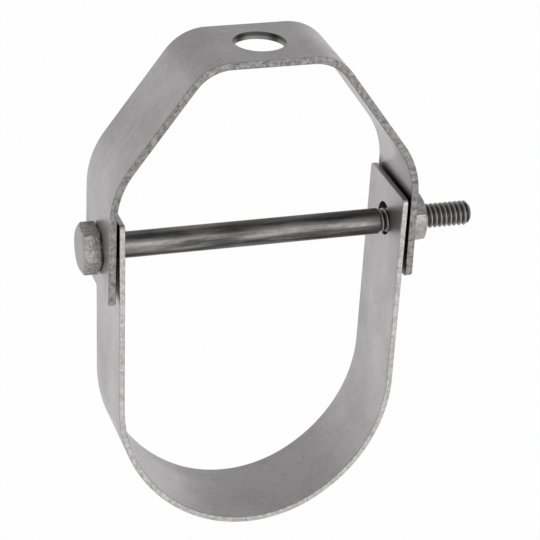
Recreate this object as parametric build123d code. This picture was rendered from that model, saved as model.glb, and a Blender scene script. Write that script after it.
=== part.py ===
from build123d import *
import os
from math import cos, radians, sin, sqrt, tan

os.makedirs("parts", exist_ok=True)

# Clevis pipe hanger for a 2 in pipe, millimetres.
# Frame: origin at the centre of the rod hole, on the yoke's top face. +Z up, X along the
# cross bolt with the bolt's head on the -X side, Y across the straps' width.

# Straps
strap_width = 23.3           # both straps, along Y
yoke_thickness = 1.85
u_thickness = 1.45
edge_round = 0.25            # rolled arris left along the sheared strap
corner_round = 1.2           # eased corners of the ear ends

# Yoke
top_width = 31.8             # between the sharp corners of the two top bends
top_bend_radius = 10.2       # inside the bend
lower_bend_radius = 20.4     # inside the bend
bolt_drop = 49.5             # from the yoke's top face down to the bolt axis
ear_height = 19.0            # from the bolt axis up to the lower bends' sharp corners
yoke_ear_drop = 10.2         # from the bolt axis down to the ears' ends
rod_hole_diameter = 12.4     # clears a 3/8 in hanger rod
yoke_hole_clearance = 0.4    # round the bolt, on the radius

# U strap
pipe_seat_radius = 30.2      # bottom arc, for a pipe of 60.3 mm outside diameter
seat_half_angle = 29.0       # the bottom arc's turn each side of its lowest point, in degrees
leg_room = 3.35              # between the seat's radius and the inside of each leg's foot
leg_splay = 0.8              # lean of each leg, outwards as it rises, in degrees
seat_depth = 74.0            # from the bolt axis down to the inside of the bottom
u_ear_rise = 10.7            # from the bolt axis up to the U ears' ends
u_hole_clearance = 1.0       # round the bolt, on the radius
u_hole_lift = 0.6            # hole centre above the bolt axis: the bolt sits low in it
ear_gap = 0.7                 # between each U ear and the yoke ear outside it

# Cross bolt, 1/4-20 UNC, and its nut
bolt_diameter = 6.35
thread_diameter = 6.12       # over the thread's crests
thread_length = 24.1
bolt_length = 94.35          # under the head
across_flats = 11.11
head_height = 4.45            # with its washer face
washer_face_height = 0.3
washer_face_inset = 0.3      # inside the flats
head_turn = 23.5             # the head's corners from upright, in degrees
nut_height = 5.56
thread_clearance = 0.05      # between the thread's crests and the nut's bore
tip_chamfer = 0.9
hex_chamfer_angle = 30.0     # of the rounded hex corners, from the flat end

bolt_axis_z = -bolt_drop
splay = radians(leg_splay)
seat_turn = radians(seat_half_angle)
leg_foot_x = pipe_seat_radius + leg_room
side_arc_radius = (leg_foot_x - pipe_seat_radius * sin(seat_turn)) / (1 - sin(seat_turn))
seat_centre_z = bolt_axis_z - seat_depth + pipe_seat_radius
side_centre_z = seat_centre_z + (side_arc_radius - pipe_seat_radius) * cos(seat_turn)
leg_start_x = leg_foot_x - side_arc_radius * (1 - cos(splay))
leg_start_z = side_centre_z - side_arc_radius * sin(splay)
u_ear_x = leg_start_x + (bolt_axis_z - leg_start_z) * tan(splay) + u_thickness / cos(splay)
yoke_half_width = u_ear_x + ear_gap + yoke_thickness


def strap_from_path(path, thickness, outer_side):
    """A flat bar of the strap's width, bent along its path and thickened to one side."""
    outline = path.offset_2d(thickness, kind=Kind.ARC, side=outer_side, closed=True)
    section = Plane.XZ * make_face(outline.edges())
    bar = extrude(section, amount=strap_width / 2, both=True)
    end_corners = bar.edges().filter_by(lambda edge: abs(edge.length - thickness) < 0.001)
    bar = fillet(end_corners, corner_round)
    sheared_faces = bar.faces().filter_by(Axis.Y)
    return fillet(sheared_faces.edges(), edge_round)


def cross_hole(radius, lift=0.0):
    """A cutter along X through both ears, centred on the bolt axis or lifted above it."""
    return Pos(0, 0, bolt_axis_z + lift) * Rot(0, 90, 0) * Cylinder(radius, 4 * yoke_half_width)


def make_yoke():
    """Flat top with the rod hole, two top bends, sloping legs, lower bends, upright ears."""
    half = yoke_half_width
    corner_z = bolt_axis_z + ear_height
    foot_z = bolt_axis_z - yoke_ear_drop
    lower_bend = lower_bend_radius + yoke_thickness
    top_bend = top_bend_radius + yoke_thickness
    path = FilletPolyline(
        (-half, foot_z),
        (-half, corner_z),
        (-top_width / 2, 0),
        (top_width / 2, 0),
        (half, corner_z),
        (half, foot_z),
        radius=[lower_bend, top_bend, top_bend, lower_bend],
    )
    bar = strap_from_path(path.wire(), yoke_thickness, Side.RIGHT)
    bar -= cross_hole(bolt_diameter / 2 + yoke_hole_clearance)
    return bar - Cylinder(rod_hole_diameter / 2, 4 * yoke_thickness)


def make_u_strap():
    """Seat arc for the pipe, a wider arc up each side, then two legs that lean outwards."""
    side_centre_x = leg_foot_x - side_arc_radius
    leg_length = (bolt_axis_z + u_ear_rise - leg_start_z) / cos(splay)
    right_leg = PolarLine((leg_start_x, leg_start_z), leg_length, angle=90 - leg_splay)
    left_leg = PolarLine((-leg_start_x, leg_start_z), leg_length, angle=90 + leg_splay)
    side_turn = 90 - seat_half_angle - leg_splay
    path = Wire(
        [
            right_leg,
            CenterArc((side_centre_x, side_centre_z), side_arc_radius, -leg_splay, -side_turn),
            CenterArc((0, seat_centre_z), pipe_seat_radius, seat_half_angle - 90, -2 * seat_half_angle),
            CenterArc((-side_centre_x, side_centre_z), side_arc_radius, 180 + leg_splay, side_turn),
            left_leg,
        ]
    )
    bar = strap_from_path(path, u_thickness, Side.RIGHT)
    return bar - cross_hole(bolt_diameter / 2 + u_hole_clearance, u_hole_lift)


def hexagon(height):
    """A hexagon standing on Z, flats facing +Y and -Y, its upper corners rounded off."""
    corner_radius = across_flats / sqrt(3)
    overhang = corner_radius - across_flats / 2
    bar = extrude(RegularPolygon(across_flats / 2, 6, major_radius=False), height)
    turned = Cylinder(corner_radius, height, align=(Align.CENTER, Align.CENTER, Align.MIN))
    top_edge = turned.edges().sort_by(Axis.Z)[-1]
    return bar & chamfer(top_edge, overhang * tan(radians(hex_chamfer_angle)), overhang)


def make_cross_bolt():
    """Hexagon head with its washer face, plain shank, threaded end over its crests."""
    upward = (Align.CENTER, Align.CENTER, Align.MIN)
    downward = (Align.CENTER, Align.CENTER, Align.MAX)
    shank_length = bolt_length - thread_length
    shank = Cylinder(bolt_diameter / 2, shank_length, align=upward)
    threaded = Pos(0, 0, shank_length) * Cylinder(thread_diameter / 2, thread_length, align=upward)
    tip = threaded.edges().sort_by(Axis.Z)[-1]
    washer_face = Cylinder(across_flats / 2 - washer_face_inset, washer_face_height, align=downward)
    head = Rot(180, 0, head_turn) * hexagon(head_height - washer_face_height)
    bolt = shank + chamfer(tip, tip_chamfer) + washer_face + Pos(0, 0, -washer_face_height) * head
    return Pos(-yoke_half_width, 0, bolt_axis_z) * Rot(0, 90, 0) * bolt


def make_nut():
    """Plain hexagon nut, seated on the outside of the +X ear."""
    bore_radius = thread_diameter / 2 + thread_clearance
    nut = hexagon(nut_height) - Cylinder(bore_radius, 4 * nut_height)
    return Pos(yoke_half_width, 0, bolt_axis_z) * Rot(0, 90, 0) * nut


makers = {
    "yoke": make_yoke,
    "u_strap": make_u_strap,
    "cross_bolt": make_cross_bolt,
    "nut": make_nut,
}
for node, make in makers.items():
    export_step(make(), f"parts/{node}.step")
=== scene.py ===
from math import radians, sqrt, tan

import bpy
from mathutils import Matrix, Vector


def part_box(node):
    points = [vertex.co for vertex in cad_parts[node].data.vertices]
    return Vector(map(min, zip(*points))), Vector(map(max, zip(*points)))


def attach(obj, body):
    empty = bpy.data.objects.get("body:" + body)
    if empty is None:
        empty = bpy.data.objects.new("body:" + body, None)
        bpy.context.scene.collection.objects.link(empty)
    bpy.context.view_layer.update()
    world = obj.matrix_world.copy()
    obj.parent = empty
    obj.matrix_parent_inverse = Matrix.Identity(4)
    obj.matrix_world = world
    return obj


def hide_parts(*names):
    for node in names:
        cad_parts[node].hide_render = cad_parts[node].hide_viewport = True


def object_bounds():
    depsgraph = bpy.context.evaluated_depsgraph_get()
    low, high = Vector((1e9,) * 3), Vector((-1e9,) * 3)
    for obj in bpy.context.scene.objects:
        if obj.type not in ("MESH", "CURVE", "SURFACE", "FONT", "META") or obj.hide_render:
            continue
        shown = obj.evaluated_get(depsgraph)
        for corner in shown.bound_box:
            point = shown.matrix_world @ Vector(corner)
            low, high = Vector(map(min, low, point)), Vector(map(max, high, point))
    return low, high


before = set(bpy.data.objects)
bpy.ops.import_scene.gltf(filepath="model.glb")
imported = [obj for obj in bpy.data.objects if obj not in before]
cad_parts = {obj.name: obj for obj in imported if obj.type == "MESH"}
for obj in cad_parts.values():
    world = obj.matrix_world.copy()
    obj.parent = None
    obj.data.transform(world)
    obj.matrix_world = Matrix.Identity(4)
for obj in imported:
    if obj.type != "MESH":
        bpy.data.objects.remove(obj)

cad_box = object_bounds()


# Yoke: the bent top strap, hung on the threaded rod by the hole in its top.
# Low-carbon steel strip, hot rolled and pickled, sheared to width, punched for the rod and the
# bolt, and press-bent on four lines.
mm = 0.001
strip_colour = "#b4b1b2"
strip_dull_colour = "#a3a0a1"
strip_speck_colour = "#757273"
half_width = cad_box[1][1]
arris_round = 0.25 * mm
mill_line_spacing = 0.9 * mm
line_stretch = 0.03
blotch_size = 14 * mm
mottle_size = 1.8 * mm
speck_size = 0.9 * mm
tear_length = 1.3 * mm
rod_hole_radius = 6.2 * mm
# Painted shade in the rod hole: its wall is coloured dark, darkest in a band at the top.
hole_rim_shade_colour = "#504e4d"
hole_wall_shade_colour = "#868382"
rim_shade_bottom = -0.8 * mm
wall_shade_top = -1.2 * mm
hole_wall_limit = -5 * mm
# Painted shade: the facing faces of the yoke's and the U strap's ears, in the gap between them, are
# coloured near black.
gap_shade_colour = "#2c2b2a"
ear_face_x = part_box("u_strap")[1].x
gap_shade_reach = 0.85 * mm
gap_shade_top = -36 * mm
gap_shade_bottom = -59 * mm


def linear(colour):
    """An sRGB hex colour as the linear RGBA that a shader takes."""
    channels = [int(colour[i:i + 2], 16) / 255 for i in (1, 3, 5)]
    channels = [c / 12.92 if c <= 0.04045 else ((c + 0.055) / 1.055) ** 2.4 for c in channels]
    return (*channels, 1.0)


def add_node(tree, kind, settings={}, values={}, links={}):
    """Adds a node, sets its settings and its sockets' values, and links what feeds it."""
    node = tree.nodes.new(kind)
    for name, setting in settings.items():
        setattr(node, name, setting)
    for socket, value in values.items():
        node.inputs[socket].default_value = value
    for socket, source in links.items():
        tree.links.new(source, node.inputs[socket])
    return node


def new_material(name):
    """A material with only its shader and output, and its tree and shader to work on."""
    material = bpy.data.materials.new(name)
    material.use_nodes = True
    tree = material.node_tree
    return material, tree, tree.nodes["Principled BSDF"]


# Pickled hot-rolled strip: satin grey metal with cloudy patches, specks and rolling lines, and
# rougher sheared edges torn in light and dark patches. The rolling lines are about 0.1 mm apart
# on real strip, too fine to show, so they are drawn 0.9 mm apart.
def rolled_strip(name, centre_z, shear_bright_colour, shear_dark_colour):
    material, tree, shader = new_material(name)
    place = add_node(tree, "ShaderNodeTexCoord").outputs["Object"]
    along = add_node(
        tree, "ShaderNodeMapping",
        values={"Location": (0, 0, -centre_z), "Scale": (line_stretch, 1, line_stretch)},
        links={"Vector": place})
    lines = add_node(
        tree, "ShaderNodeTexNoise",
        values={"Scale": 1 / mill_line_spacing, "Detail": 3.0, "Roughness": 0.6},
        links={"Vector": along.outputs["Vector"]})
    cloud = add_node(
        tree, "ShaderNodeTexNoise",
        values={"Scale": 1 / blotch_size, "Detail": 4.0, "Roughness": 0.55},
        links={"Vector": place})
    speck = add_node(
        tree, "ShaderNodeTexNoise",
        values={"Scale": 1 / speck_size, "Detail": 2.0, "Roughness": 0.7},
        links={"Vector": place})
    line_share = add_node(
        tree, "ShaderNodeMapRange",
        values={"From Min": 0.3, "From Max": 0.7, "To Min": 0.0, "To Max": 0.3},
        links={"Value": lines.outputs["Fac"]})
    cloud_share = add_node(
        tree, "ShaderNodeMapRange",
        values={"From Min": 0.35, "From Max": 0.65, "To Min": 0.0, "To Max": 0.55},
        links={"Value": cloud.outputs["Fac"]})
    mottle = add_node(
        tree, "ShaderNodeTexNoise",
        values={"Scale": 1 / mottle_size, "Detail": 4.0, "Roughness": 0.6},
        links={"Vector": place})
    mottle_share = add_node(
        tree, "ShaderNodeMapRange",
        values={"From Min": 0.35, "From Max": 0.65, "To Min": 0.0, "To Max": 0.3},
        links={"Value": mottle.outputs["Fac"]})
    line_cloud_share = add_node(
        tree, "ShaderNodeMath", {"operation": "ADD"},
        links={0: line_share.outputs["Result"], 1: cloud_share.outputs["Result"]})
    dull_share = add_node(
        tree, "ShaderNodeMath", {"operation": "ADD"},
        links={0: line_cloud_share.outputs["Value"], 1: mottle_share.outputs["Result"]})
    face = add_node(
        tree, "ShaderNodeMix", {"data_type": "RGBA"},
        {6: linear(strip_colour), 7: linear(strip_dull_colour)},
        {0: dull_share.outputs["Value"]})
    speck_share = add_node(
        tree, "ShaderNodeMapRange",
        values={"From Min": 0.62, "From Max": 0.72, "To Min": 0.0, "To Max": 0.45},
        links={"Value": speck.outputs["Fac"]})
    specked_face = add_node(
        tree, "ShaderNodeMix", {"data_type": "RGBA"}, {7: linear(strip_speck_colour)},
        {0: speck_share.outputs["Result"], 6: face.outputs[2]})

    parts = add_node(tree, "ShaderNodeSeparateXYZ", links={"Vector": place})
    off_centre = add_node(
        tree, "ShaderNodeMath", {"operation": "ABSOLUTE"}, links={0: parts.outputs["Y"]})
    sheared = add_node(
        tree, "ShaderNodeMapRange",
        values={"From Min": half_width - arris_round / 2, "From Max": half_width - arris_round / 8},
        links={"Value": off_centre.outputs["Value"]})
    tears = add_node(
        tree, "ShaderNodeTexNoise",
        values={"Scale": 1 / tear_length, "Detail": 6.0, "Roughness": 0.75},
        links={"Vector": place})
    tear_share = add_node(
        tree, "ShaderNodeMapRange",
        values={"From Min": 0.36, "From Max": 0.62},
        links={"Value": tears.outputs["Fac"]})
    edge = add_node(
        tree, "ShaderNodeMix", {"data_type": "RGBA"},
        {6: linear(shear_bright_colour), 7: linear(shear_dark_colour)},
        {0: tear_share.outputs["Result"]})
    sideways = add_node(
        tree, "ShaderNodeMath", {"operation": "ABSOLUTE"}, links={0: parts.outputs["X"]})
    # Painted shade between the ears: a mask on the faces in the gap between the U strap's ears and the
    # yoke's ears, between two heights.
    past_u_ear = add_node(
        tree, "ShaderNodeMapRange",
        values={"From Min": ear_face_x - 0.2 * mm, "From Max": ear_face_x},
        links={"Value": sideways.outputs["Value"]})
    before_yoke_ear = add_node(
        tree, "ShaderNodeMapRange",
        values={"From Min": ear_face_x + gap_shade_reach + 0.2 * mm, "From Max": ear_face_x + gap_shade_reach},
        links={"Value": sideways.outputs["Value"]})
    below_film_top = add_node(
        tree, "ShaderNodeMapRange",
        values={"From Min": gap_shade_top, "From Max": gap_shade_top - 3 * mm},
        links={"Value": parts.outputs["Z"]})
    above_film_bottom = add_node(
        tree, "ShaderNodeMapRange",
        values={"From Min": gap_shade_bottom, "From Max": gap_shade_bottom + 2 * mm},
        links={"Value": parts.outputs["Z"]})
    gap_shade_across = add_node(
        tree, "ShaderNodeMath", {"operation": "MULTIPLY"},
        links={0: past_u_ear.outputs["Result"], 1: before_yoke_ear.outputs["Result"]})
    gap_shade_along = add_node(
        tree, "ShaderNodeMath", {"operation": "MULTIPLY"},
        links={0: below_film_top.outputs["Result"], 1: above_film_bottom.outputs["Result"]})
    gap_shade_mask = add_node(
        tree, "ShaderNodeMath", {"operation": "MULTIPLY"},
        links={0: gap_shade_across.outputs["Value"], 1: gap_shade_along.outputs["Value"]})
    # Painted shade inside the rod hole: the wall is coloured darker than the strip, with a darker band
    # at the top in place of the rolled-in rim's shade.
    across_hole = add_node(
        tree, "ShaderNodeCombineXYZ", links={"X": parts.outputs["X"], "Y": parts.outputs["Y"]})
    from_hole = add_node(
        tree, "ShaderNodeVectorMath", {"operation": "LENGTH"},
        links={0: across_hole.outputs["Vector"]})
    punched = add_node(
        tree, "ShaderNodeMapRange",
        values={"From Min": rod_hole_radius + 0.15 * mm, "From Max": rod_hole_radius + 0.05 * mm},
        links={"Value": from_hole.outputs["Value"]})
    below_top = add_node(
        tree, "ShaderNodeMath", {"operation": "GREATER_THAN"}, {1: hole_wall_limit},
        {0: parts.outputs["Z"]})
    punched_wall = add_node(
        tree, "ShaderNodeMath", {"operation": "MULTIPLY"},
        links={0: punched.outputs["Result"], 1: below_top.outputs["Value"]})
    # Painted shade: the gap between the ears is coloured near black.
    gap_shaded_colour = add_node(
        tree, "ShaderNodeMix", {"data_type": "RGBA"}, {7: linear(gap_shade_colour)},
        {0: gap_shade_mask.outputs["Value"], 6: specked_face.outputs[2]})
    # Painted shade: the darkest colour at the top of the hole wall, lighter lower down.
    hole_shade_share = add_node(
        tree, "ShaderNodeMapRange",
        values={"From Min": rim_shade_bottom, "From Max": wall_shade_top},
        links={"Value": parts.outputs["Z"]})
    hole_wall = add_node(
        tree, "ShaderNodeMix", {"data_type": "RGBA"},
        {6: linear(hole_rim_shade_colour), 7: linear(hole_wall_shade_colour)},
        {0: hole_shade_share.outputs["Result"]})
    face_or_hole = add_node(
        tree, "ShaderNodeMix", {"data_type": "RGBA"}, {},
        {0: punched_wall.outputs["Value"], 6: gap_shaded_colour.outputs[2], 7: hole_wall.outputs[2]})
    colour = add_node(
        tree, "ShaderNodeMix", {"data_type": "RGBA"}, {},
        {0: sheared.outputs["Result"], 6: face_or_hole.outputs[2], 7: edge.outputs[2]})
    tree.links.new(colour.outputs[2], shader.inputs["Base Color"])
    shader.inputs["Metallic"].default_value = 1.0

    face_roughness = add_node(
        tree, "ShaderNodeMapRange",
        values={"From Min": 0.3, "From Max": 0.7, "To Min": 0.3, "To Max": 0.4},
        links={"Value": cloud.outputs["Fac"]})
    roughness = add_node(
        tree, "ShaderNodeMix", {"data_type": "FLOAT"}, {3: 0.45},
        {0: sheared.outputs["Result"], 2: face_roughness.outputs["Result"]})
    tree.links.new(roughness.outputs[0], shader.inputs["Roughness"])

    face_bump = add_node(
        tree, "ShaderNodeBump", values={"Strength": 0.25, "Distance": 0.02 * mm},
        links={"Height": lines.outputs["Fac"]})
    edge_height = add_node(
        tree, "ShaderNodeMath", {"operation": "MULTIPLY"},
        links={0: tears.outputs["Fac"], 1: sheared.outputs["Result"]})
    bump = add_node(
        tree, "ShaderNodeBump", values={"Strength": 0.6, "Distance": 0.2 * mm},
        links={"Height": edge_height.outputs["Value"], "Normal": face_bump.outputs["Normal"]})
    tree.links.new(bump.outputs["Normal"], shader.inputs["Normal"])
    return material


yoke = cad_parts["yoke"]
yoke_steel = rolled_strip("rolled_steel_strip_yoke", 0.0, "#a5a2a1", "#656261")
for material_slot in yoke.material_slots:
    material_slot.material = yoke_steel


# U strap: the lower strap that carries the pipe in its round bottom. The same pickled strip,
# a little thinner, rolled round a former, with its two ears inside the yoke's on the bolt.
u_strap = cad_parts["u_strap"]
u_low, u_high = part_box("u_strap")
u_middle_z = (u_low.z + u_high.z) / 2
u_steel = rolled_strip("rolled_steel_strip_u", u_middle_z, "#cfcccb", "#a19e9d")
for material_slot in u_strap.material_slots:
    material_slot.material = u_steel


# Cross bolt: a 1/4-20 hexagon-head bolt through all four ears. Cold-drawn wire, its head forged
# and trimmed to a hexagon, its thread rolled over the last inch. Plain finish, left oily.
bolt_low, bolt_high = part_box("cross_bolt")
nut_low, nut_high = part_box("nut")
axis_z = (nut_low.z + nut_high.z) / 2
shank_radius = 3.175 * mm
crest_radius = 3.06 * mm
root_radius = 2.4 * mm
pitch = 1.27 * mm
thread_length = 24.1 * mm
flats = 11.11 * mm
hexagon_height = 4.15 * mm
washer_face_height = 0.3 * mm
washer_face_radius = flats / 2 - 0.3 * mm
face_circle_radius = 5.05 * mm
head_lean = 6.5
hex_chamfer_angle = 30
head_arris_round = 0.3 * mm
weld_lap = 0.3 * mm
thread_lap = 0.1 * mm
thread_runout = 0.9 * mm
die_clearance = 0.01 * mm
cut_tolerance = 0.0001 * mm
merge_distance = 0.002 * mm
tip_chamfer = 0.9 * mm
tip_step = 0.25 * mm
thread_start = bolt_high.x - thread_length


def edit(piece):
    """Goes into edit mode on this piece alone, with all of it selected."""
    bpy.ops.object.select_all(action="DESELECT")
    piece.select_set(True)
    bpy.context.view_layer.objects.active = piece
    bpy.ops.object.mode_set(mode="EDIT")
    bpy.ops.mesh.select_all(action="SELECT")


def lathed_bar(name, start, end, start_radius, end_radius, sides=96):
    """A round bar or cone along the bolt's axis, from one X to another."""
    bpy.ops.object.select_all(action="DESELECT")
    bpy.ops.mesh.primitive_cone_add(
        vertices=sides, radius1=start_radius, radius2=end_radius, depth=end - start,
        location=((start + end) / 2, 0, axis_z), rotation=(0, radians(90), 0))
    bar = bpy.context.object
    bar.name = name
    bpy.ops.object.transform_apply(location=True, rotation=True, scale=True)
    return bar


def combine(piece, tool, operation):
    """Joins, cuts or trims the piece with the tool, which is used up."""
    bpy.ops.object.select_all(action="DESELECT")
    piece.select_set(True)
    bpy.context.view_layer.objects.active = piece
    boolean = piece.modifiers.new(operation.lower(), "BOOLEAN")
    boolean.operation = operation
    boolean.solver = "EXACT"
    boolean.object = tool
    bpy.ops.object.modifier_apply(modifier=boolean.name)
    bpy.data.objects.remove(tool)


def finish_piece(piece, smooth_angle):
    """Merges doubles, turns faces outwards, and smooths where faces meet at a low angle."""
    edit(piece)
    bpy.ops.mesh.remove_doubles(threshold=merge_distance)
    bpy.ops.mesh.delete_loose()
    bpy.ops.mesh.select_all(action="SELECT")
    bpy.ops.mesh.normals_make_consistent(inside=False)
    bpy.ops.object.mode_set(mode="OBJECT")
    bpy.ops.object.shade_smooth_by_angle(angle=radians(smooth_angle))


def ease_corners(piece, width, angle):
    """Merges corners that all but meet, then rounds the arrises sharper than the angle."""
    edit(piece)
    bpy.ops.mesh.remove_doubles(threshold=0.03 * mm)
    bpy.ops.object.mode_set(mode="OBJECT")
    bevel = piece.modifiers.new("arris", "BEVEL")
    bevel.width = width
    bevel.segments = 3
    bevel.limit_method = "ANGLE"
    bevel.angle_limit = radians(angle)
    bpy.ops.object.modifier_apply(modifier=bevel.name)


hexagon_start = bolt_low.x
hexagon_end = hexagon_start + hexagon_height
shank_start = hexagon_end + washer_face_height
bolt = lathed_bar(
    "cross_bolt_steel", hexagon_start, hexagon_end, flats / sqrt(3), flats / sqrt(3), sides=6)
edit(bolt)
bpy.ops.transform.rotate(
    value=radians(-head_lean), orient_axis="X", orient_type="GLOBAL",
    center_override=(hexagon_start, 0, axis_z))
bpy.ops.object.mode_set(mode="OBJECT")
forging_die = lathed_bar(
    "forging_die", hexagon_start, hexagon_end + die_clearance,
    face_circle_radius, face_circle_radius + hexagon_height / tan(radians(hex_chamfer_angle)))
combine(bolt, forging_die, "INTERSECT")
ease_corners(bolt, head_arris_round, 25)
washer_face = lathed_bar(
    "washer_face", hexagon_end - weld_lap, shank_start, washer_face_radius, washer_face_radius)
combine(bolt, washer_face, "UNION")
shank = lathed_bar(
    "shank", shank_start - weld_lap, thread_start, shank_radius, shank_radius)
combine(bolt, shank, "UNION")
shank_end = lathed_bar(
    "shank_end", thread_start - thread_lap, thread_start + thread_runout,
    shank_radius, root_radius)
combine(bolt, shank_end, "UNION")

bpy.ops.object.select_all(action="DESELECT")
bpy.ops.mesh.primitive_plane_add(size=mm, location=(0, 0, 0))
thread = bpy.context.object
thread.name = "rolled_thread"
edit(thread)
bpy.ops.mesh.merge(type="CENTER")
bpy.ops.transform.translate(value=(thread_start - 2 * pitch, 0, root_radius))
thread_depth = crest_radius - root_radius
profile_steps = (
    (0.08, 0.0), (0.07, 0.14), (0.19, 0.64), (0.07, 0.16), (0.07, 0.06),
    (0.04, 0.0), (0.07, -0.06), (0.07, -0.16), (0.19, -0.64), (0.15, -0.14))
for along_share, up_share in profile_steps:
    bpy.ops.mesh.extrude_region_move(
        TRANSFORM_OT_translate={"value": (along_share * pitch, 0, up_share * thread_depth)})
bpy.ops.object.mode_set(mode="OBJECT")
turns = thread.modifiers.new("turns", "ARRAY")
turns.use_relative_offset = False
turns.use_constant_offset = True
turns.constant_offset_displace = (pitch, 0, 0)
turns.count = int(thread_length / pitch) + 5
turns.use_merge_vertices = True
turns.merge_threshold = 0.001 * mm
bpy.ops.object.modifier_apply(modifier="turns")
helix = thread.modifiers.new("helix", "SCREW")
helix.axis = "X"
helix.angle = radians(360)
helix.screw_offset = pitch
helix.steps = 72
helix.render_steps = 72
helix.use_merge_vertices = False
bpy.ops.object.modifier_apply(modifier="helix")
edit(thread)
bpy.ops.mesh.remove_doubles(threshold=merge_distance)
bpy.ops.mesh.bisect(
    plane_co=(thread_start + thread_lap, 0, 0), plane_no=(1, 0, 0), use_fill=True,
    clear_inner=True, threshold=cut_tolerance)
bpy.ops.mesh.select_all(action="SELECT")
bpy.ops.mesh.bisect(
    plane_co=(bolt_high.x, 0, 0), plane_no=(1, 0, 0), use_fill=True,
    clear_outer=True, threshold=cut_tolerance)
bpy.ops.mesh.select_all(action="SELECT")
bpy.ops.mesh.normals_make_consistent(inside=False)
bpy.ops.transform.translate(value=(0, 0, axis_z))
bpy.ops.object.mode_set(mode="OBJECT")
tip_slope = (crest_radius - root_radius + tip_step) / tip_chamfer
pointing_die = lathed_bar(
    "pointing_die", thread_start, bolt_high.x + die_clearance,
    root_radius - tip_step + tip_slope * (thread_length + die_clearance), root_radius - tip_step)
combine(thread, pointing_die, "INTERSECT")
bpy.ops.object.select_all(action="DESELECT")
thread.select_set(True)
bolt.select_set(True)
bpy.context.view_layer.objects.active = bolt
bpy.ops.object.join()
finish_piece(bolt, 35)


# Cold-drawn bolt steel: dark and oily, streaked along the wire, with a paler scuffed head and a rolled
# thread with painted shade in its roots and a painted highlight on its crests. The real die lines are
# far finer than
# 0.1 mm, too fine to show, so the streaks are drawn about 1.9 mm apart.
wire_dark_colour = "#474543"
wire_bright_colour = "#8a8785"
# Painted shade and highlight: the thread's roots are coloured darker and its crests lighter.
root_shade_colour = "#5b5958"
crest_highlight_colour = "#a09d9c"
head_face_dull_colour = "#9a9796"
head_face_bright_colour = "#b7b4b3"
trimmed_dull_colour = "#908d8c"
trimmed_bright_colour = "#b3b0af"
streak_spacing = 1.9 * mm
scuff_size = 1.4 * mm
trim_mark_size = 0.7 * mm
bolt_steel, tree, shader = new_material("cold_drawn_bolt_steel")
place = add_node(tree, "ShaderNodeTexCoord").outputs["Object"]
centred = add_node(
    tree, "ShaderNodeMapping", values={"Location": (0, 0, -axis_z)}, links={"Vector": place})
wire = add_node(
    tree, "ShaderNodeMapping", values={"Scale": (0.09, 1, 1)},
    links={"Vector": centred.outputs["Vector"]})
streaks = add_node(
    tree, "ShaderNodeTexNoise", values={"Scale": 1 / streak_spacing, "Detail": 6.0, "Roughness": 0.6},
    links={"Vector": wire.outputs["Vector"]})
streak_share = add_node(
    tree, "ShaderNodeMapRange", values={"From Min": 0.38, "From Max": 0.62},
    links={"Value": streaks.outputs["Fac"]})
shank_colour = add_node(
    tree, "ShaderNodeMix", {"data_type": "RGBA"},
    {6: linear(wire_dark_colour), 7: linear(wire_bright_colour)},
    {0: streak_share.outputs["Result"]})
parts = add_node(tree, "ShaderNodeSeparateXYZ", links={"Vector": centred.outputs["Vector"]})
across = add_node(
    tree, "ShaderNodeCombineXYZ", links={"Y": parts.outputs["Y"], "Z": parts.outputs["Z"]})
from_axis = add_node(
    tree, "ShaderNodeVectorMath", {"operation": "LENGTH"}, links={0: across.outputs["Vector"]})
# Painted shade in the thread's roots and a painted highlight on its crests, set by the distance from the
# axis.
on_crest = add_node(
    tree, "ShaderNodeMapRange",
    values={"From Min": root_radius + 0.1 * mm, "From Max": crest_radius - 0.15 * mm},
    links={"Value": from_axis.outputs["Value"]})
thread_colour = add_node(
    tree, "ShaderNodeMix", {"data_type": "RGBA"},
    {6: linear(root_shade_colour), 7: linear(crest_highlight_colour)},
    {0: on_crest.outputs["Result"]})
on_thread = add_node(
    tree, "ShaderNodeMapRange",
    values={"From Min": thread_start, "From Max": thread_start + 0.4 * mm},
    links={"Value": parts.outputs["X"]})
wire_colour = add_node(
    tree, "ShaderNodeMix", {"data_type": "RGBA"}, {},
    {0: on_thread.outputs["Result"], 6: shank_colour.outputs[2], 7: thread_colour.outputs[2]})
scuffs = add_node(
    tree, "ShaderNodeTexNoise", values={"Scale": 1 / scuff_size, "Detail": 5.0, "Roughness": 0.7},
    links={"Vector": place})
scuff_share = add_node(
    tree, "ShaderNodeMapRange", values={"From Min": 0.35, "From Max": 0.65},
    links={"Value": scuffs.outputs["Fac"]})
face_colour = add_node(
    tree, "ShaderNodeMix", {"data_type": "RGBA"},
    {6: linear(head_face_dull_colour), 7: linear(head_face_bright_colour)},
    {0: scuff_share.outputs["Result"]})
trim_marks = add_node(
    tree, "ShaderNodeTexNoise", values={"Scale": 1 / trim_mark_size, "Detail": 3.0, "Roughness": 0.5},
    links={"Vector": place})
trim_share = add_node(
    tree, "ShaderNodeMapRange", values={"From Min": 0.4, "From Max": 0.58},
    links={"Value": trim_marks.outputs["Fac"]})
side_colour = add_node(
    tree, "ShaderNodeMix", {"data_type": "RGBA"},
    {6: linear(trimmed_dull_colour), 7: linear(trimmed_bright_colour)},
    {0: trim_share.outputs["Result"]})
on_side = add_node(
    tree, "ShaderNodeMapRange",
    values={"From Min": flats / 2 - 0.25 * mm, "From Max": flats / 2 - 0.05 * mm},
    links={"Value": from_axis.outputs["Value"]})
head_colour = add_node(
    tree, "ShaderNodeMix", {"data_type": "RGBA"}, {},
    {0: on_side.outputs["Result"], 6: face_colour.outputs[2], 7: side_colour.outputs[2]})
on_head = add_node(
    tree, "ShaderNodeMapRange",
    values={"From Min": shank_start - 0.3 * mm, "From Max": hexagon_end - 0.1 * mm},
    links={"Value": parts.outputs["X"]})
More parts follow.
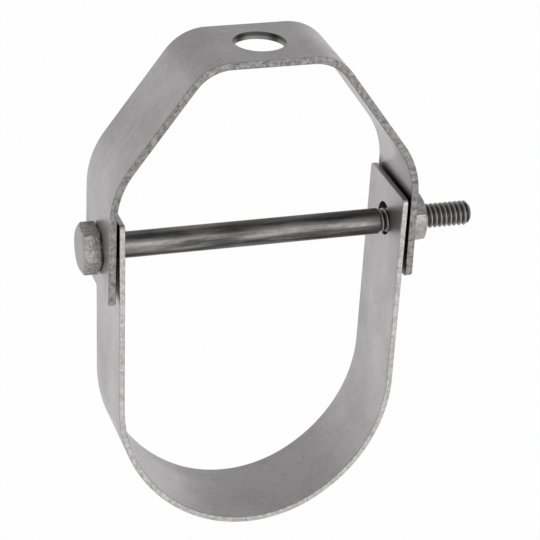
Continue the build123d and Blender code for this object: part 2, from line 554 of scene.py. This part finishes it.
colour = add_node(
    tree, "ShaderNodeMix", {"data_type": "RGBA"}, {},
    {0: on_head.outputs["Result"], 6: wire_colour.outputs[2], 7: head_colour.outputs[2]})
tree.links.new(colour.outputs[2], shader.inputs["Base Color"])
shader.inputs["Metallic"].default_value = 1.0
roughness = add_node(
    tree, "ShaderNodeMapRange",
    values={"From Min": 0.35, "From Max": 0.65, "To Min": 0.36, "To Max": 0.5},
    links={"Value": scuffs.outputs["Fac"]})
tree.links.new(roughness.outputs["Result"], shader.inputs["Roughness"])
side_marks = add_node(
    tree, "ShaderNodeMath", {"operation": "MULTIPLY"},
    links={0: trim_marks.outputs["Fac"], 1: on_side.outputs["Result"]})
head_marks = add_node(
    tree, "ShaderNodeMath", {"operation": "ADD"},
    links={0: scuffs.outputs["Fac"], 1: side_marks.outputs["Value"]})
head_height = add_node(
    tree, "ShaderNodeMath", {"operation": "MULTIPLY"},
    links={0: head_marks.outputs["Value"], 1: on_head.outputs["Result"]})
wire_bump = add_node(
    tree, "ShaderNodeBump", values={"Strength": 0.3, "Distance": 0.05 * mm},
    links={"Height": streaks.outputs["Fac"]})
bump = add_node(
    tree, "ShaderNodeBump", values={"Strength": 0.7, "Distance": 0.2 * mm},
    links={"Height": head_height.outputs["Value"], "Normal": wire_bump.outputs["Normal"]})
tree.links.new(bump.outputs["Normal"], shader.inputs["Normal"])
bolt.data.materials.clear()
bolt.data.materials.append(bolt_steel)
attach(bolt, "bolt")
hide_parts("cross_bolt")


# Nut: the plain hexagon nut on the bolt's thread, outside the yoke's right ear. Cold-forged
# low-carbon steel, both ends chamfered round the corners and the bore countersunk and tapped.
nut_chamfer_radius = 5.3 * mm
nut_arris_round = 0.18 * mm
nut_lean = 30
bore_radius = 3.175 * mm
countersink_radius = 3.65 * mm
countersink_depth = 0.5 * mm
nut_start = nut_low.x
nut_end = nut_high.x
nut_middle = (nut_start + nut_end) / 2
nut = lathed_bar("nut_steel", nut_start, nut_end, flats / sqrt(3), flats / sqrt(3), sides=6)
edit(nut)
bpy.ops.transform.rotate(
    value=radians(-nut_lean), orient_axis="X", orient_type="GLOBAL",
    center_override=(nut_start, 0, axis_z))
bpy.ops.object.mode_set(mode="OBJECT")
wide_radius = nut_chamfer_radius + (nut_end - nut_start) / tan(radians(hex_chamfer_angle))
left_die = lathed_bar(
    "left_die", nut_start, nut_end + die_clearance, nut_chamfer_radius, wide_radius)
combine(nut, left_die, "INTERSECT")
right_die = lathed_bar(
    "right_die", nut_start - die_clearance, nut_end, wide_radius, nut_chamfer_radius)
combine(nut, right_die, "INTERSECT")
ease_corners(nut, nut_arris_round, 25)
tap_drill = lathed_bar(
    "tap_drill", nut_start - mm, nut_end + mm, bore_radius, bore_radius)
edit(tap_drill)
for sink_floor in (nut_start + countersink_depth, nut_end - countersink_depth):
    bpy.ops.mesh.select_all(action="SELECT")
    bpy.ops.mesh.bisect(
        plane_co=(sink_floor, 0, 0), plane_no=(1, 0, 0), threshold=cut_tolerance)
bpy.ops.mesh.select_all(action="DESELECT")
bpy.ops.object.mode_set(mode="OBJECT")
for corner in tap_drill.data.vertices:
    corner.select = abs(corner.co.x - nut_middle) > (nut_end - nut_start) / 2
bpy.ops.object.mode_set(mode="EDIT")
sink_slope = (countersink_radius - bore_radius) / countersink_depth
flare = 1 + sink_slope * (countersink_depth + mm) / bore_radius
bpy.ops.transform.resize(value=(1, flare, flare), center_override=(nut_middle, 0, axis_z))
bpy.ops.object.mode_set(mode="OBJECT")
combine(nut, tap_drill, "DIFFERENCE")
finish_piece(nut, 30)


# Cold-forged nut steel: plain grey metal at roughness about 0.4, tumbled, so its slightly pitted
# surface is blotched lighter and darker.
nut_dull_colour = "#8d8b89"
nut_bright_colour = "#b3b1af"
pit_size = 1.2 * mm
nut_steel, tree, shader = new_material("cold_forged_nut_steel")
place = add_node(tree, "ShaderNodeTexCoord").outputs["Object"]
pits = add_node(
    tree, "ShaderNodeTexNoise", values={"Scale": 1 / pit_size, "Detail": 5.0, "Roughness": 0.7},
    links={"Vector": place})
pit_share = add_node(
    tree, "ShaderNodeMapRange", values={"From Min": 0.35, "From Max": 0.65},
    links={"Value": pits.outputs["Fac"]})
colour = add_node(
    tree, "ShaderNodeMix", {"data_type": "RGBA"},
    {6: linear(nut_dull_colour), 7: linear(nut_bright_colour)},
    {0: pit_share.outputs["Result"]})
tree.links.new(colour.outputs[2], shader.inputs["Base Color"])
shader.inputs["Metallic"].default_value = 1.0
roughness = add_node(
    tree, "ShaderNodeMapRange",
    values={"From Min": 0.35, "From Max": 0.65, "To Min": 0.32, "To Max": 0.45},
    links={"Value": pits.outputs["Fac"]})
tree.links.new(roughness.outputs["Result"], shader.inputs["Roughness"])
bump = add_node(
    tree, "ShaderNodeBump", values={"Strength": 0.5, "Distance": 0.1 * mm},
    links={"Height": pits.outputs["Fac"]})
tree.links.new(bump.outputs["Normal"], shader.inputs["Normal"])
nut.data.materials.clear()
nut.data.materials.append(nut_steel)
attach(nut, "nut")
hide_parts("nut")


# Studio: a pale floor under the hanging part, which keeps a trace of its shadow, walls that are
# white at the floor line and greyer towards the ceiling, and one soft lamp in front.
floor_drop = 0.30
floor_colour = "#f4f4f4"
floor_whiteness = 0.97
lamp_side = 0.7
lamp_power = 3.0
lamp_offset = (0.32, -0.85, 0.20)
bpy.ops.object.select_all(action="DESELECT")
bpy.ops.mesh.primitive_plane_add(size=30, location=(0, 0, cad_box[0][2] - floor_drop))
floor = bpy.context.object
floor.name = "studio_floor"
bpy.ops.object.transform_apply(location=True, rotation=True, scale=True)
floor_paint, tree, shader = new_material("matt_white_floor_paint")
shader.inputs["Base Color"].default_value = linear(floor_colour)
shader.inputs["Roughness"].default_value = 0.9
seen = add_node(tree, "ShaderNodeLightPath")
seen_or_mirrored = add_node(
    tree, "ShaderNodeMath", {"operation": "MAXIMUM"},
    links={0: seen.outputs["Is Camera Ray"], 1: seen.outputs["Is Glossy Ray"]})
shown = add_node(
    tree, "ShaderNodeMath", {"operation": "MAXIMUM"},
    links={0: seen_or_mirrored.outputs["Value"], 1: seen.outputs["Is Transmission Ray"]})
shown_share = add_node(
    tree, "ShaderNodeMath", {"operation": "MULTIPLY"}, {1: floor_whiteness}, {0: shown.outputs["Value"]})
white = add_node(
    tree, "ShaderNodeEmission", values={"Color": (1, 1, 1, 1), "Strength": 1.0})
paint = add_node(
    tree, "ShaderNodeMixShader", {}, {},
    {0: shown_share.outputs["Value"], 1: shader.outputs["BSDF"], 2: white.outputs["Emission"]})
tree.links.new(paint.outputs["Shader"], tree.nodes["Material Output"].inputs["Surface"])
floor.data.materials.append(floor_paint)

room = bpy.data.worlds.new("studio_room")
bpy.context.scene.world = room
room.use_nodes = True
tree = room.node_tree
direction = add_node(tree, "ShaderNodeTexCoord").outputs["Generated"]
height = add_node(tree, "ShaderNodeSeparateXYZ", links={"Vector": direction})
walls = add_node(tree, "ShaderNodeValToRGB", links={"Fac": height.outputs["Z"]})
ramp = walls.color_ramp
ramp.elements[0].position = 0.05
ramp.elements[0].color = (1, 1, 1, 1)
ramp.elements[1].position = 1.0
ramp.elements[1].color = (0.6, 0.6, 0.6, 1)
upper_wall = ramp.elements.new(0.22)
upper_wall.color = (0.68, 0.68, 0.68, 1)
ceiling_line = ramp.elements.new(0.5)
ceiling_line.color = (0.58, 0.58, 0.58, 1)
tree.links.new(walls.outputs["Color"], tree.nodes["Background"].inputs["Color"])
tree.nodes["Background"].inputs["Strength"].default_value = 1.0


def soft_lamp(name, place, target, size, power):
    """A square soft box at a place, turned to its target."""
    lamp_data = bpy.data.lights.new(name, "AREA")
    lamp_data.shape = "SQUARE"
    lamp_data.size = size
    lamp_data.energy = power
    lamp = bpy.data.objects.new(name, lamp_data)
    lamp.location = place
    lamp.rotation_euler = (Vector(target) - Vector(place)).to_track_quat("-Z", "Y").to_euler()
    bpy.context.scene.collection.objects.link(lamp)


middle = Vector((0, 0, -0.06))
soft_lamp("front_lamp", middle + Vector(lamp_offset), middle, lamp_side, lamp_power)

camera_data = bpy.data.cameras.new("camera")
camera_data.sensor_width = 36
camera_data.lens = 155.449
camera = bpy.data.objects.new("camera", camera_data)
camera_right = Vector((0.95448303, -0.29481539, 0.04523312))
camera_up = Vector((0.09566235, 0.44623197, 0.88978972))
camera_back = Vector((-0.28250817, -0.84496208, 0.45412358))
turn = Matrix((camera_right, camera_up, camera_back)).transposed()
camera.matrix_world = Matrix.Translation((-0.15568, -0.48167, 0.19866)) @ turn.to_4x4()
bpy.context.scene.collection.objects.link(camera)
bpy.context.scene.camera = camera
bpy.context.scene.view_settings.view_transform = "Standard"
